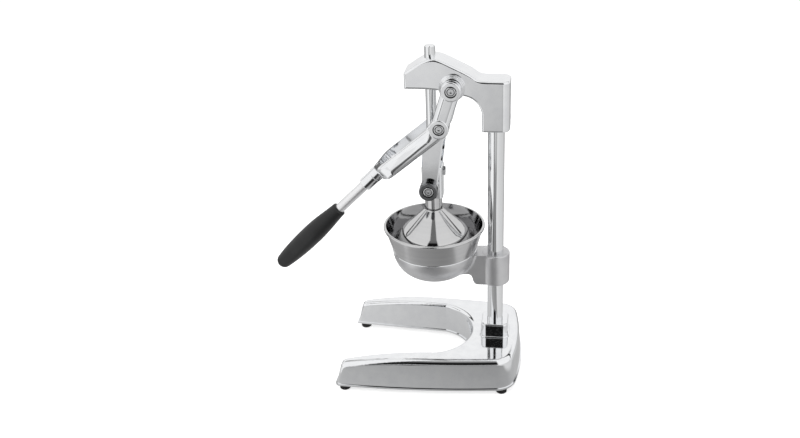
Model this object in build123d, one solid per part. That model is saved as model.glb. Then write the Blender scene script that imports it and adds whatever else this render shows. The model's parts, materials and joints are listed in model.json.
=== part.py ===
from build123d import *
import math
import os

# Hand lever citrus press: a horseshoe stand, a column, a head casting with a
# rising rod, a forked bell crank lever, two link plates, a press bell, and a
# bowl with a strainer cone in a bracket.
# While it is built, the rod's axis is x = 0, y = 0, the column is towards +X,
# and z = 0 is the table. The near side is -Y. Sizes are in millimetres.

# Running and seating clearances
bore_clearance = 0.05
seat_clearance = 0.3
side_clearance = 0.3

# Length of the cuts that go right through a piece
through = 80.0

# Stand casting
foot_height = 8.0
base_top_height = 47.5
base_tip_height = 38.0
base_level_reach = 15.0
base_nose_reach = 107.0
base_nose_radius = 9.0
base_tip_corner_radius = 6.0
base_rear_reach = 105.0
base_corner_reach = 96.0
base_front_reach = 115.0
base_side_half_width = 77.0
base_rear_half_width = base_side_half_width - 9.0
base_tip_half_width = base_side_half_width - 1.5
base_wall = 4.0
base_draft = 4.0
base_rear_corner_radius = 24.0
base_edge_radius = 6.5
base_lip_height = 2.2
base_lip_width = 1.0
rib_thickness = 3.5
rib_places = (-70.0, -25.0)

# Space for the glass, between the legs
glass_tip_half_width = base_tip_half_width - 14.0
glass_bend_half_width = 51.0
glass_bend_reach = 5.0
glass_back_reach = 43.5
glass_draft = 1.0
glass_edge_radius = 4.0

# Feet
foot_top_radius = 7.0
foot_bottom_radius = 6.4
foot_chamfer = 0.8
foot_front_reach = base_front_reach - 10.0
foot_front_offset = base_tip_half_width - 7.1
foot_rear_reach = base_corner_reach - 11.5
foot_rear_offset = base_rear_half_width - 7.5
foot_boss_radius = 7.2
foot_recess_radius = 4.2
foot_recess_depth = 3.6
foot_screw_radius = 2.0
foot_screw_head_radius = 3.6
foot_screw_head_height = 2.2
foot_screw_length = 16.0

# Column
column_reach = 72.5
column_radius = 9.5
column_boss_width = 34.0
column_boss_corner_radius = 7.0
column_boss_height = 17.5
column_boss_edge_radius = 2.0
column_boss_draft = 2.5
column_foot_height = 30.0
column_top_in_head = 46.0
column_bolt_radius = 5.0
column_bolt_head_width = 17.0
column_bolt_head_height = 6.4
column_bolt_grip = 24.0
column_thread_spare = 4.0
column_washer_radius = 12.0
column_washer_thickness = 2.0
column_core_height = 18.0

# Linkage: fulcrum on the head, knee under it, crosshead pivot on the rod's axis
fulcrum_reach = 25.5
fulcrum_height = 366.0
crank_length = 45.1
crank_angle = 17.7
link_length = 77.0
crosshead_pivot_reach = -1.8
lever_travel = 90.0

# Head casting, sized from the fulcrum and the rod's axis
head_half_thickness = 17.0
nose_reach = 27.0
nose_bottom = -3.0
nose_shoulder = 15.0
head_crown = 30.5
head_back_top = 6.8
head_back_reach = 15.5
head_sleeve_front = 15.0
head_sleeve_bottom = 51.0
head_arch_radius = 25.0
head_arch_low = 29.0
head_arch_middle = 15.5
head_arch_top = 9.5
head_brow_reach = 11.0
head_brow_drop = 5.0
head_crown_reach = 4.0
head_slope_reach = 23.0
head_slope_drop = 6.0
head_hollow_reach = 48.6
head_hollow_rise = 4.4
head_flat_length = 8.0
head_under_reach = 12.0
head_under_drop = 4.3
head_screw_height = 14.0
head_rear_corner_radius = 8.5
head_edge_radius = 2.5
head_boss_radius = 11.5
head_boss_end = 22.7

# Guide rod and crosshead
rod_radius = 6.0
rod_stand_out = 11.5
rod_chamfer = 1.0
crosshead_half_width = 12.0
crosshead_above = 22.0
crosshead_below = 16.0
crosshead_corner_radius = 4.0
crosshead_top_radius = 1.5
crosshead_screw_drop = 8.0
crosshead_boss_radius = 10.0
crosshead_boss_end = 17.1
rod_seat_above = -4.0
stud_radius = 5.0
stud_length = 9.0

# Set screws
set_screw_radius = 3.0
set_screw_recess = 0.4
set_screw_nut_width = 10.0
set_screw_nut_height = 2.6
grub_socket_width = 3.0
grub_socket_depth = 2.5

# Lever casting
arm_inside = 23.0
arm_thickness = 9.0
upper_arm_width = 20.0
lower_arm_width = 17.5
lever_eye_radius = 11.0
lever_eye_end = 33.0
lower_arm_drop = 39.8
lower_arm_offset = 2.4
yoke_reach = 98.0
yoke_shoulder_reach = 74.0
crotch_start_reach = 56.0
crotch_reach = 89.0
arm_edge_radius = 4.0
upper_arm_edge_radius = 6.0
eye_edge_radius = 1.4
socket_radius = 8.6
socket_length = 14.0
socket_start = -6.0

# Handle
handle_drop = 44.7
collar_radius = 8.2
collar_length = 17.3
collar_edge_radius = 0.8
handle_tube_radius = 6.0
handle_tube_wall = 1.5
handle_bare_length = 45.4
grip_length = 113.0
grip_top_radius = 8.6
grip_middle_radius = 12.3
grip_tip_radius = 8.8
grip_cover = 95.0
grip_widest_share = 0.45
grip_tip_share = 0.8
grip_mouth_chamfer = 1.5
grip_top_slope = 0.07
grip_tip_slope = 0.16

# Pivot pins and screws
pivot_radius = 5.0
counterbore_clearance = 0.4
cap_screw_head_radius = 6.2
cap_screw_head_height = 5.0
cap_screw_socket_width = 5.0
cap_screw_socket_depth = 2.8
cap_screw_radius = 3.0
cap_screw_length = 14.0
cap_screw_edge_chamfer = 0.7
pivot_counterbore_radius = cap_screw_head_radius + counterbore_clearance
pivot_counterbore_depth = cap_screw_head_height + counterbore_clearance
stub_pin_radius = 4.0
pin_depth = 3.0

# Link plates
link_thickness = 5.0
link_eye_radius = 11.0
link_foot_half_width = 8.8
link_bulge = 16.2
link_bulge_place = 50.0
link_waist = 6.2
link_waist_place = 56.0
link_edge_radius = 1.2
cap_radius = 10.8
cap_end = 31.0

# Press bell
bell_neck_radius = 10.0
bell_neck_length = 18.0
bell_height = 42.0
bell_shoulder_radius = 36.0
bell_shoulder_drop = 24.5
bell_crease_radius = 41.0
bell_crease_drop = 32.0
bell_neck_fillet = 2.0
bell_radius = 45.0
bell_wall = 2.2
bell_gap = 5.5

# Strainer cone
strainer_wall = 1.2
strainer_base_radius = 31.0
strainer_top_radius = 12.0
strainer_height = 26.0
strainer_dome_height = 5.0
strainer_hole_radius = 1.6
strainer_rings = 3
strainer_first_ring = 0.7
strainer_holes_around = 12

# Bowl
bowl_rim_radius = 60.0
bowl_seat_radius = 50.2
bowl_height = 30.0
bowl_wall = 1.5
bowl_bead_radius = 1.5
bowl_depth = 27.0
bowl_floor_radius = 22.0
spout_radius = 9.0
spout_length = 7.0

# Bowl bracket
ring_radius = 50.0
ring_wall = 3.4
ring_depth = 33.0
ring_bottom_radius = 27.0
hub_radius = 17.0
hub_top_drop = 3.5
hub_height = 39.5
hub_edge_radius = 2.0
bracket_arm_half_width = 13.0
bracket_arm_start = 20.0
bracket_arm_step = 1.0
bracket_under_rise = 3.5
bracket_dip_gap = 3.0
bracket_sweep = 12.0
bracket_blend_radius = 5.0

# Places worked out from the sizes above
knee_turn = math.radians(crank_angle)
knee_reach = fulcrum_reach - crank_length * math.sin(knee_turn)
knee_height = fulcrum_height - crank_length * math.cos(knee_turn)
link_turn = math.asin((knee_reach - crosshead_pivot_reach) / link_length)
crosshead_height = knee_height - link_length * math.cos(link_turn)
open_turn = knee_turn + math.radians(lever_travel)
open_knee_reach = fulcrum_reach - crank_length * math.sin(open_turn)
open_knee_height = fulcrum_height - crank_length * math.cos(open_turn)
open_link_turn = math.asin((open_knee_reach - crosshead_pivot_reach) / link_length)
open_crosshead = open_knee_height - link_length * math.cos(open_link_turn)
rod_rise = open_crosshead - crosshead_height
link_swing = open_link_turn - link_turn

head_bottom = fulcrum_height - head_sleeve_bottom
crown_height = fulcrum_height + head_crown
rod_bottom = crosshead_height + rod_seat_above
rod_top = crown_height + rod_stand_out
block_top = crosshead_height + crosshead_above
block_bottom = crosshead_height - crosshead_below
bell_shoulder_top = block_bottom - bell_neck_length
bell_edge = bell_shoulder_top - bell_height
strainer_top = bell_edge - bell_gap
strainer_seat = strainer_top - strainer_wall
ring_top = strainer_seat - bowl_wall - seat_clearance
rim_top = ring_top + bowl_height
hub_top = ring_top - hub_top_drop
hub_bottom = hub_top - hub_height
link_inside = crosshead_boss_end + side_clearance + 0.2
link_outside = link_inside + link_thickness
arm_outside = arm_inside + arm_thickness
sides = {"near": -1, "far": 1}


boss_top = base_top_height + column_boss_height


def disc(radius, low, high, x=0.0, y=0.0):
    return Pos(x, y, (low + high) / 2) * Cylinder(radius, high - low)


def cross_disc(radius, x, z, y_low, y_high):
    turned = Rot(90, 0, 0) * Cylinder(radius, y_high - y_low)
    return Pos(x, (y_low + y_high) / 2, z) * turned


def eye(radius, x, z, side, inside, outside):
    boss = cross_disc(radius, x, z, *sorted((side * inside, side * outside)))
    return fillet(boss.edges().sort_by(Axis.Y)[-1 if side > 0 else 0], eye_edge_radius)


def spun(*edges):
    return revolve(Plane.XZ * make_face(Wire(edges)), Axis.Z)


def dome_arc(radius, low, high):
    ball = (radius**2 + (high - low) ** 2) / (2 * (high - low))
    centre = high - ball
    middle_angle = (math.atan2(low - centre, radius) + math.pi / 2) / 2
    middle = (ball * math.cos(middle_angle), centre + ball * math.sin(middle_angle))
    return ThreePointArc((radius, low), middle, (0, high))


def slab(face, y_low, y_high):
    return Pos(0, y_high, 0) * extrude(Plane.XZ * face, amount=y_high - y_low)


def outer_face(inset=0.0):
    rear = ThreePointArc(
        (base_corner_reach, -base_rear_half_width),
        (base_rear_reach, 0),
        (base_corner_reach, base_rear_half_width),
    )
    side_middle = (base_corner_reach - base_front_reach) / 2
    past_tips = -base_front_reach - base_nose_radius
    far_side = ThreePointArc(
        (base_corner_reach, base_rear_half_width),
        (side_middle, base_side_half_width),
        (past_tips, base_tip_half_width),
    )
    near_side = ThreePointArc(
        (past_tips, -base_tip_half_width),
        (side_middle, -base_side_half_width),
        (base_corner_reach, -base_rear_half_width),
    )
    front = Line((past_tips, base_tip_half_width), (past_tips, -base_tip_half_width))
    face = make_face([rear, far_side, front, near_side])
    rear_corners = face.vertices().filter_by_position(Axis.X, 0, base_rear_reach)
    face = fillet(rear_corners, base_rear_corner_radius)
    return offset(face, -inset) if inset else face


def glass_face(outset=0.0):
    past_tips = -2 * base_front_reach
    spread = (glass_tip_half_width - glass_bend_half_width) / (base_front_reach + glass_bend_reach)
    mouth = glass_bend_half_width + spread * (glass_bend_reach - past_tips)
    back = ThreePointArc(
        (glass_bend_reach, glass_bend_half_width),
        (glass_back_reach, 0),
        (glass_bend_reach, -glass_bend_half_width),
    )
    legs = Polyline(
        (glass_bend_reach, -glass_bend_half_width),
        (past_tips, -mouth),
        (past_tips, mouth),
        (glass_bend_reach, glass_bend_half_width),
    )
    face = make_face([back, legs])
    return offset(face, outset, kind=Kind.INTERSECTION) if outset else face


def base_profile(drop=0.0):
    past = 2 * base_rear_reach
    top = base_top_height - drop
    nose = (-base_nose_reach + drop, base_tip_height - drop)
    toe = (-base_front_reach + drop, foot_height)
    face = make_face(
        [
            Line((past, foot_height), (past, top)),
            Line((past, top), (-base_level_reach, top)),
            TangentArc((-base_level_reach, top), nose, tangent=(-1, 0)),
            Line(nose, toe),
            Line(toe, (past, foot_height)),
        ]
    )
    if not drop:
        face = fillet(face.vertices().sort_by_distance((*nose, 0))[0], base_nose_radius)
    return slab(face, -past, past)


def base_rim(body):
    raised = body.edges().filter_by(lambda edge: edge.center().Z > foot_height + 1)
    across = raised.filter_by(lambda edge: edge.center().X < 0 and abs(edge.tangent_at(0.5).Y) > 0.9)
    upright = raised.filter_by(lambda edge: edge.center().X > 0 and abs(edge.tangent_at(0.5).Z) > 0.9)
    return [edge for edge in raised if edge not in across and edge not in upright]


def foot_places():
    return {
        "front_near": (-foot_front_reach, -foot_front_offset),
        "front_far": (-foot_front_reach, foot_front_offset),
        "rear_near": (foot_rear_reach, -foot_rear_offset),
        "rear_far": (foot_rear_reach, foot_rear_offset),
    }


def lip_face():
    face = offset(outer_face(), base_lip_width) - glass_face(-base_lip_width)
    end = -base_front_reach - base_lip_width / 2
    behind = Rectangle(3 * base_front_reach, 3 * base_side_half_width, align=(Align.MIN, Align.CENTER))
    face &= Pos(end, 0, 0) * behind
    tips = face.vertices().group_by(Axis.X)[0]
    return fillet(tips.filter_by(lambda corner: abs(corner.Y) > foot_front_offset), base_tip_corner_radius)


def make_base():
    height = 2 * base_top_height
    ground = Pos(0, 0, foot_height)
    body = ground * extrude(outer_face(), amount=height, taper=base_draft)
    body = body & base_profile()
    body = fillet(base_rim(body), base_edge_radius)
    glass = ground * extrude(glass_face(), amount=height, taper=-glass_draft)
    body -= glass
    inner_rim = [edge for edge in base_rim(body) if glass.distance_to(edge.center()) < 0.02]
    body = fillet(inner_rim, glass_edge_radius)
    body += ground * extrude(lip_face(), amount=base_lip_height)
    hollow = extrude(outer_face(base_wall), amount=height, taper=base_draft)
    hollow -= extrude(glass_face(base_wall), amount=height)
    hollow = (ground * hollow) & base_profile(base_wall)
    for x in rib_places:
        hollow -= Pos(x, 0, height / 2) * Box(rib_thickness, 4 * base_side_half_width, height)
    for x, y in foot_places().values():
        hollow -= disc(foot_boss_radius, 0, height, x, y)
    core = Pos(column_reach, 0, column_core_height) * extrude(
        RectangleRounded(column_boss_width, column_boss_width, column_boss_corner_radius), amount=height
    )
    body -= hollow - core
    body += make_column_boss()
    body -= disc(column_radius + bore_clearance, column_foot_height, boss_top + 1, column_reach)
    body -= disc(column_bolt_radius + bore_clearance, 0, column_foot_height + 1, column_reach)
    for x, y in foot_places().values():
        body -= disc(foot_screw_radius + bore_clearance, 0, foot_height + foot_screw_length, x, y)
    return body


def make_column_boss():
    width = column_boss_width
    boss_face = RectangleRounded(width, width, column_boss_corner_radius)
    low = base_top_height - base_wall
    boss = Pos(column_reach, 0, low) * extrude(boss_face, amount=boss_top - low, taper=column_boss_draft)
    return fillet(boss.faces().sort_by(Axis.Z)[-1].edges(), column_boss_edge_radius)


def make_foot(x, y):
    rubber = Pos(x, y, foot_height / 2) * Cone(foot_bottom_radius, foot_top_radius, foot_height)
    rubber = chamfer(rubber.edges().sort_by(Axis.Z)[0], foot_chamfer)
    rubber -= disc(foot_recess_radius, -1, foot_recess_depth, x, y)
    return rubber - disc(foot_screw_radius + bore_clearance, 0, foot_height + 1, x, y)


def make_foot_screw(x, y):
    head_low = foot_recess_depth - foot_screw_head_height
    head = disc(foot_screw_head_radius, head_low, foot_recess_depth, x, y)
    return head + disc(foot_screw_radius, head_low, head_low + foot_screw_length, x, y)


def make_column():
    top = head_bottom + column_top_in_head
    bar = disc(column_radius, column_foot_height, top, column_reach)
    bar = chamfer(bar.edges().sort_by(Axis.Z)[-1], rod_chamfer)
    thread_top = column_foot_height + column_bolt_grip + column_thread_spare
    return bar - disc(column_bolt_radius + bore_clearance, column_foot_height - 1, thread_top, column_reach)


def make_column_washer():
    low = column_core_height - column_washer_thickness
    ring = disc(column_washer_radius, low, column_core_height, column_reach)
    return ring - disc(column_bolt_radius + bore_clearance, 0, column_core_height + 1, column_reach)


def make_column_bolt():
    head_top = column_core_height - column_washer_thickness
    hexagon = RegularPolygon(column_bolt_head_width / 2, 6, major_radius=False)
    head_low = head_top - column_bolt_head_height
    head = Pos(column_reach, 0, head_low) * extrude(hexagon, amount=column_bolt_head_height)
    return head + disc(column_bolt_radius, head_low, column_foot_height + column_bolt_grip, column_reach)


def set_screw(x, z, depth):
    nut = extrude(RegularPolygon(set_screw_nut_width / 2, 6, major_radius=False), amount=set_screw_nut_height)
    shank = Pos(0, 0, -depth) * extrude(Circle(set_screw_radius), amount=depth)
    return Pos(x, 0, z) * (Rot(0, 90, 0) * (nut + shank))


def screw_hole():
    return Rot(0, 90, 0) * extrude(Circle(set_screw_radius + bore_clearance), amount=through)


def grub_screw(x, z, depth):
    shank = Pos(0, 0, -depth) * extrude(Circle(set_screw_radius), amount=depth)
    socket = RegularPolygon(grub_socket_width / 2, 6, major_radius=False)
    shank -= Pos(0, 0, -grub_socket_depth) * extrude(socket, amount=grub_socket_depth + 1)
    return Pos(x, 0, z) * (Rot(0, 90, 0) * shank)


def bracket_joins(body):
    ring_front = body.edges().filter_by(lambda edge: abs(abs(edge.center().Y) - bracket_arm_half_width) < 0.01)
    return ring_front.filter_by(lambda edge: edge.bounding_box().size.Z > ring_depth / 2 and edge.center().X < ring_radius)


def make_bracket():
    wall = ring_wall
    low = ring_top - ring_depth
    outer = spun(
        Line((0, low), (ring_bottom_radius, low)),
        TangentArc((ring_radius, ring_top), (ring_bottom_radius, low), tangent=(0, -1)),
        Line((ring_radius, ring_top), (0, ring_top)),
        Line((0, ring_top), (0, low)),
    )
    inner = spun(
        Line((0, low - 1), (ring_bottom_radius - wall, low - 1)),
        Line((ring_bottom_radius - wall, low - 1), (ring_bottom_radius - wall, low)),
        TangentArc((ring_radius - wall, ring_top), (ring_bottom_radius - wall, low), tangent=(0, -1)),
        Line((ring_radius - wall, ring_top), (ring_radius - wall, ring_top + 1)),
        Line((ring_radius - wall, ring_top + 1), (0, ring_top + 1)),
        Line((0, ring_top + 1), (0, low - 1)),
    )
    start = bracket_arm_start
    dip = column_reach - hub_radius - bracket_dip_gap
    rise = dip - bracket_sweep
    arm_top = hub_top - bracket_arm_step
    arm_low = low + bracket_under_rise
    crest = column_reach - 6
    arm_side = make_face(
        [
            Line((start, arm_top), (rise, arm_top)),
            Spline((rise, arm_top), (crest, hub_top), tangents=((1, 0), (1, 0))),
            *Polyline((crest, hub_top), (column_reach, hub_top), (column_reach, hub_bottom), (dip, hub_bottom)).edges(),
            Spline((dip, hub_bottom), (rise, arm_low), tangents=((-1, 0), (-1, 0))),
            Spline((rise, arm_low), (start, low), tangents=((-1, 0), (-1, -0.3))),
            Line((start, low), (start, arm_top)),
        ]
    )
    body = outer + slab(arm_side, -bracket_arm_half_width, bracket_arm_half_width)
    body = fillet(bracket_joins(body), bracket_blend_radius)
    hub = disc(hub_radius, hub_bottom, hub_top, column_reach)
    body += fillet(hub.edges().filter_by(GeomType.CIRCLE), hub_edge_radius)
    body -= inner
    body -= disc(column_radius + bore_clearance, hub_bottom - 1, hub_top + 1, column_reach)
    return body - Pos(column_reach, 0, (hub_top + hub_bottom) / 2) * screw_hole()


def make_bracket_screw():
    face = hub_radius - set_screw_recess
    return grub_screw(column_reach + face, (hub_top + hub_bottom) / 2, face - column_radius)


def head_outline():
    fulcrum = fulcrum_height
    rear = column_reach + head_back_reach
    front = column_reach - head_sleeve_front
    nose_foot = (-nose_reach, fulcrum + nose_bottom)
    nose_top = (-nose_reach, fulcrum + nose_shoulder)
    flat_start = (column_reach - head_flat_length, fulcrum + head_back_top)
    arch_foot = (front, fulcrum - head_arch_low)
    arch_end = (front - head_arch_radius, fulcrum - head_arch_top)
    roof = Spline(
        nose_top,
        (-head_brow_reach, fulcrum + head_crown - head_brow_drop),
        (head_crown_reach, fulcrum + head_crown),
        (head_slope_reach, fulcrum + head_crown - head_slope_drop),
        (head_hollow_reach, fulcrum + head_back_top + head_hollow_rise),
        flat_start,
        tangents=((1, 0.6), (1, 0)),
    )
    arch = ThreePointArc(arch_foot, (front - 0.3 * head_arch_radius, fulcrum - head_arch_middle), arch_end)
    underside = Spline(
        arch_end,
        (head_under_reach, fulcrum - head_under_drop),
        nose_foot,
        tangents=((-1, 0.32), (-1, 0)),
    )
    back = Polyline(flat_start, (rear, fulcrum + head_back_top), (rear, head_bottom), (front, head_bottom), arch_foot)
    return make_face([Line(nose_foot, nose_top), roof, *back.edges(), arch, underside])


def make_head():
    body = slab(head_outline(), -head_half_thickness, head_half_thickness)
    back = body.faces().sort_by(Axis.X)[-1]
    body = fillet(back.edges().filter_by(Axis.Z), head_rear_corner_radius)
    side_edges = body.edges().filter_by(lambda edge: abs(edge.center().Y) > head_half_thickness - 0.3)
    body = fillet(side_edges, head_edge_radius)
    body += cross_disc(head_boss_radius, fulcrum_reach, fulcrum_height, -head_boss_end, head_boss_end)
    body -= cross_disc(pivot_radius + bore_clearance, fulcrum_reach, fulcrum_height, -through, through)
    body -= disc(rod_radius + bore_clearance, head_bottom, rod_top, 0)
    column_top = head_bottom + column_top_in_head
    body -= disc(column_radius + bore_clearance, head_bottom - 1, column_top + seat_clearance, column_reach)
    return body - Pos(column_reach, 0, head_bottom + head_screw_height) * screw_hole()


def make_head_screw():
    face = head_back_reach - set_screw_recess
    return grub_screw(column_reach + face, head_bottom + head_screw_height, face - column_radius)


def make_rod():
    rod = disc(rod_radius, rod_bottom, rod_top)
    return chamfer(rod.edges().filter_by(GeomType.CIRCLE), rod_chamfer)


def make_crosshead():
    width = 2 * crosshead_half_width
    face = RectangleRounded(width, width, crosshead_corner_radius)
    block = Pos(0, 0, block_bottom) * extrude(face, amount=block_top - block_bottom)
    block = fillet(block.faces().sort_by(Axis.Z)[-1].edges(), crosshead_top_radius)
    boss_end = crosshead_boss_end
    block += cross_disc(crosshead_boss_radius, crosshead_pivot_reach, crosshead_height, -boss_end, boss_end)
    block -= disc(rod_radius + bore_clearance, rod_bottom, block_top + 1)
    block -= disc(stud_radius + bore_clearance, block_bottom - 1, block_bottom + stud_length + 0.5)
    for side in sides.values():
        ends = sorted((side * (crosshead_half_width - pin_depth), side * through))
        block -= cross_disc(stub_pin_radius + bore_clearance, crosshead_pivot_reach, crosshead_height, *ends)
    return block - Pos(0, 0, block_top - crosshead_screw_drop) * screw_hole()


def make_crosshead_screw():
    return set_screw(crosshead_half_width, block_top - crosshead_screw_drop, crosshead_half_width - rod_radius)


def bell_profile(inset):
    top = bell_shoulder_top - 1.5 * inset
    neck = bell_neck_radius - inset
    shoulder = (bell_shoulder_radius - inset, top - bell_shoulder_drop)
    crease = (bell_crease_radius - inset, top - bell_crease_drop)
    lower = (bell_radius - inset, bell_edge - inset)
    cone = Line((neck, top), shoulder)
    skirt = TangentArc(shoulder, crease, tangent=cone % 1)
    rest = Polyline(crease, lower, (0, bell_edge - inset), (0, block_bottom), (neck, block_bottom), (neck, top))
    return make_face([cone, skirt, *rest.edges()])


def make_bell():
    body = revolve(Plane.XZ * bell_profile(0), Axis.Z)
    neck_ring = body.edges().filter_by(GeomType.CIRCLE).sort_by_distance((0, bell_neck_radius, bell_shoulder_top))[0]
    body = fillet(neck_ring, bell_neck_fillet)
    hollow = revolve(Plane.XZ * bell_profile(bell_wall), Axis.Z)
    hollow &= disc(bell_radius, bell_edge - 2 * bell_wall, bell_shoulder_top - 1.5 * bell_wall)
    body -= hollow
    return body + disc(stud_radius, block_bottom - 1, block_bottom + stud_length)


def lever_plane():
    drop = math.radians(lower_arm_drop)
    along = (-math.cos(drop), 0, -math.sin(drop))
    up = (-math.sin(drop), 0, math.cos(drop))
    start = (knee_reach - lower_arm_offset * up[0], 0, knee_height - lower_arm_offset * up[2])
    return Plane(origin=start, x_dir=along, z_dir=up)


def yoke_point():
    end = lever_plane().from_local_coords((yoke_reach, 0, 0))
    return (end.X, end.Z)


def handle_place(distance):
    x, z = yoke_point()
    drop = math.radians(handle_drop)
    spot = (x - distance * math.cos(drop), 0, z - distance * math.sin(drop))
    return Plane(origin=spot, z_dir=(-math.cos(drop), 0, -math.sin(drop)), x_dir=(0, 1, 0))


def make_lever():
    half = lower_arm_width / 2
    outside = arm_outside
    start = yoke_shoulder_reach
    end = yoke_reach
    neck = socket_radius
    outer_far = Spline((start, outside), (end, neck), tangents=((1, 0), (0.5, -1)))
    outer_near = Spline((end, -neck), (start, -outside), tangents=((-0.5, -1), (-1, 0)))
    yoke = make_face(
        [
            Line((0, -outside), (0, outside)),
            Line((0, outside), (start, outside)),
            outer_far,
            Line((end, neck), (end, -neck)),
            outer_near,
            Line((start, -outside), (0, -outside)),
        ]
    )
    inside = arm_inside
    start = crotch_start_reach
    crotch = make_face(
        [
            Line((-through, -inside), (start, -inside)),
            Spline((start, -inside), (crotch_reach, 0), (start, inside), tangents=((1, 0), (-1, 0))),
            Line((start, inside), (-through, inside)),
            Line((-through, inside), (-through, -inside)),
        ]
    )
    plane = lever_plane()
    fork = extrude(plane * (yoke - crotch), amount=half, both=True)
    rims = fork.edges().filter_by(lambda edge: abs(plane.to_local_coords(edge.center()).Z) > half - 0.01)
    outer_rims = rims.filter_by(lambda edge: abs(edge.center().Y) > (outside + inside) / 2 - 1)
    outer_rims = outer_rims.filter_by(lambda edge: abs(edge.tangent_at(0.5).Y) < 0.9)
    fork = fillet(outer_rims, arm_edge_radius)
    socket = handle_place(socket_start) * extrude(Circle(socket_radius), amount=socket_length)
    body = fork + socket
    length = crank_length
    turn = Rot(0, crank_angle, 0)
    section = Pos(0, (arm_inside + arm_outside) / 2) * Rectangle(upper_arm_width, arm_thickness)
    section = fillet(section.vertices().sort_by(Axis.Y)[-2:], upper_arm_edge_radius)
    for side in sides.values():
        upper = extrude(section if side > 0 else mirror(section, Plane.XZ), amount=-length)
        body += Pos(fulcrum_reach, 0, fulcrum_height) * (turn * upper)
        body += eye(lever_eye_radius, fulcrum_reach, fulcrum_height, side, arm_inside, lever_eye_end)
        body += eye(lever_eye_radius, knee_reach, knee_height, side, arm_inside, lever_eye_end)
    for x, z in ((fulcrum_reach, fulcrum_height), (knee_reach, knee_height)):
        radius = pivot_radius if x == fulcrum_reach else stub_pin_radius
        body -= cross_disc(radius + bore_clearance, x, z, -through, through)
        for side in sides.values():
            ends = sorted((side * (lever_eye_end - pivot_counterbore_depth), side * through))
            body -= cross_disc(pivot_counterbore_radius, x, z, *ends)
    tube_hole = extrude(Circle(handle_tube_radius + bore_clearance), amount=through)
    return body - handle_place(socket_start + 2) * tube_hole


def make_collar():
    ring = extrude(Circle(collar_radius), amount=collar_length)
    ring = fillet(ring.edges(), collar_edge_radius)
    ring -= Pos(0, 0, -1) * extrude(Circle(handle_tube_radius + bore_clearance), amount=collar_length + 2)
    return handle_place(socket_start + socket_length) * ring


def make_handle_tube():
    length = grip_start() + grip_cover - socket_start - 2
    tube = extrude(Circle(handle_tube_radius) - Circle(handle_tube_radius - handle_tube_wall), amount=length)
    return handle_place(socket_start + 2) * tube


def grip_start():
    return socket_start + socket_length + collar_length + handle_bare_length


def make_grip():
    length = grip_length
    widest = length * grip_widest_share
    shoulder = length - grip_tip_radius * grip_tip_share
    mouth = grip_top_radius - grip_mouth_chamfer
    profile = [
        Line((0, 0), (mouth, 0)),
        Line((mouth, 0), (grip_top_radius, grip_mouth_chamfer)),
        Spline(
            (grip_top_radius, grip_mouth_chamfer),
            (grip_middle_radius, widest),
            tangents=((grip_top_slope, 1), (0, 1)),
        ),
        Spline((grip_middle_radius, widest), (grip_tip_radius, shoulder), tangents=((0, 1), (-grip_tip_slope, 1))),
        dome_arc(grip_tip_radius, shoulder, length),
        Line((0, length), (0, 0)),
    ]
    grip = spun(*profile)
    grip -= disc(handle_tube_radius + bore_clearance, -1, grip_cover + 1)
    return handle_place(grip_start()) * grip


def make_fulcrum_shaft():
    end = lever_eye_end - pivot_counterbore_depth
    shaft = cross_disc(pivot_radius, fulcrum_reach, fulcrum_height, -end, end)
    for side in sides.values():
        ends = sorted((side * (end - cap_screw_length), side * (end + 1)))
        shaft -= cross_disc(cap_screw_radius + bore_clearance, fulcrum_reach, fulcrum_height, *ends)
    return shaft


def cap_screw(x, z, seat, side, shank_radius, shank_length):
    ends = sorted((side * seat, side * (seat + cap_screw_head_height)))
    head = cross_disc(cap_screw_head_radius, x, z, *ends)
    rim = head.edges().filter_by(GeomType.CIRCLE).sort_by(Axis.Y)[0 if side < 0 else -1]
    head = chamfer(rim, cap_screw_edge_chamfer)
    ends = sorted((side * (seat - shank_length), side * (seat + 1)))
    head += cross_disc(shank_radius, x, z, *ends)
    depth = cap_screw_head_height - cap_screw_socket_depth
    socket = extrude(RegularPolygon(cap_screw_socket_width / 2, 6, major_radius=False), amount=through)
    turned = Rot(-90 * side, 0, 0) * socket
    return head - Pos(x, side * (seat + depth), z) * turned


def make_link(side):
    top = link_length
    body = make_face(
        [
            Line((-link_foot_half_width, 0), (-link_bulge, link_bulge_place)),
            Spline(
                (-link_bulge, link_bulge_place),
                (-link_eye_radius, top + 1),
                tangents=((-0.14, 1), (0.5, 1)),
            ),
            Line((-link_eye_radius, top + 1), (link_eye_radius, top)),
            Spline((link_eye_radius, top), (link_waist, link_waist_place), tangents=((0, -1), (0, -1))),
            Line((link_waist, link_waist_place), (link_foot_half_width, 0)),
            Line((link_foot_half_width, 0), (-link_foot_half_width, 0)),
        ]
    )
    outline = body + Circle(link_eye_radius) + Pos(0, top) * Circle(link_eye_radius)
    outline -= Circle(stub_pin_radius + bore_clearance)
    outline -= Pos(0, top) * Circle(stub_pin_radius + bore_clearance)
    ends = sorted((side * link_inside, side * link_outside))
    plate = slab(outline, *ends)
    rims = plate.faces().sort_by(Axis.Y)[0 if side < 0 else -1].edges()
    plate = chamfer(rims, link_edge_radius)
    return Pos(crosshead_pivot_reach, 0, crosshead_height) * (Rot(0, math.degrees(link_turn), 0) * plate)


def make_crosshead_cap(side):
    cap = eye(cap_radius, crosshead_pivot_reach, crosshead_height, side, link_outside, cap_end)
    cap -= cross_disc(stub_pin_radius + bore_clearance, crosshead_pivot_reach, crosshead_height, -through, through)
    ends = sorted((side * (cap_end - pivot_counterbore_depth), side * through))
    return cap - cross_disc(pivot_counterbore_radius, crosshead_pivot_reach, crosshead_height, *ends)


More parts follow.
